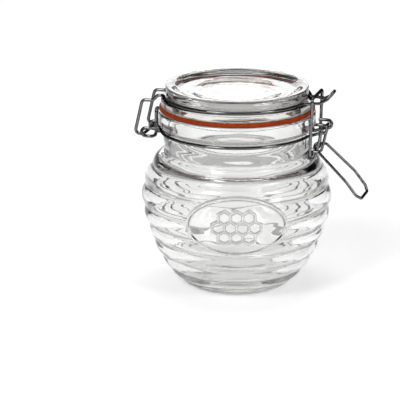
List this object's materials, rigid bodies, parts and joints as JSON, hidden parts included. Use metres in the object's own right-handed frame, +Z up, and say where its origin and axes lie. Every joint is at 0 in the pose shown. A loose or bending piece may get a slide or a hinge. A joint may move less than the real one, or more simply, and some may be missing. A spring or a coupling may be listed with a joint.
{
  "type": "honey pot",
  "caption": "Clip-top glass honey pot: ribbed beehive jar with an oval honeycomb plaque, recessed glass lid, rubber ring and wire bail lever.",
  "frame": {"origin": "middle of the jar's foot, in the plane that the pot stands on", "axes": "+Z up along the jar's axis, -Y towards the oval plaque, +X to the clasp's side; the wirework's upright plane is turned 15 degrees from X, the clasp towards the plaque"},
  "size_m": [0.1295, 0.1076, 0.1134],
  "materials": {
    "glass": "clear pressed",
    "rubber": "smooth matte",
    "steel": "bright drawn wire"
  },
  "bodies": {
    "pot": {"jar": "glass", "seal": "rubber", "lid": "glass", "lid_wire": "steel", "neck_wire": "steel"},
    "lever": {"lever": "steel"},
    "bail": {"bail": "steel"}
  },
  "joints": [
    {"name": "lever_swing", "type": "hinge", "parent": "pot", "child": "lever", "pos_m": [0.0483, -0.01294, 0.0925], "axis": [-0.2588, -0.9659, 0], "range_deg": [0, 140]},
    {"name": "bail_swing", "type": "hinge", "parent": "lever", "child": "bail", "pos_m": [0.04269, -0.01144, 0.078], "axis": [-0.2588, -0.9659, 0], "range_deg": [-84, 0]}
  ],
  "couplings": [
    {"joint": "bail_swing", "follows": "lever_swing", "ratio": -0.6}
  ]
}
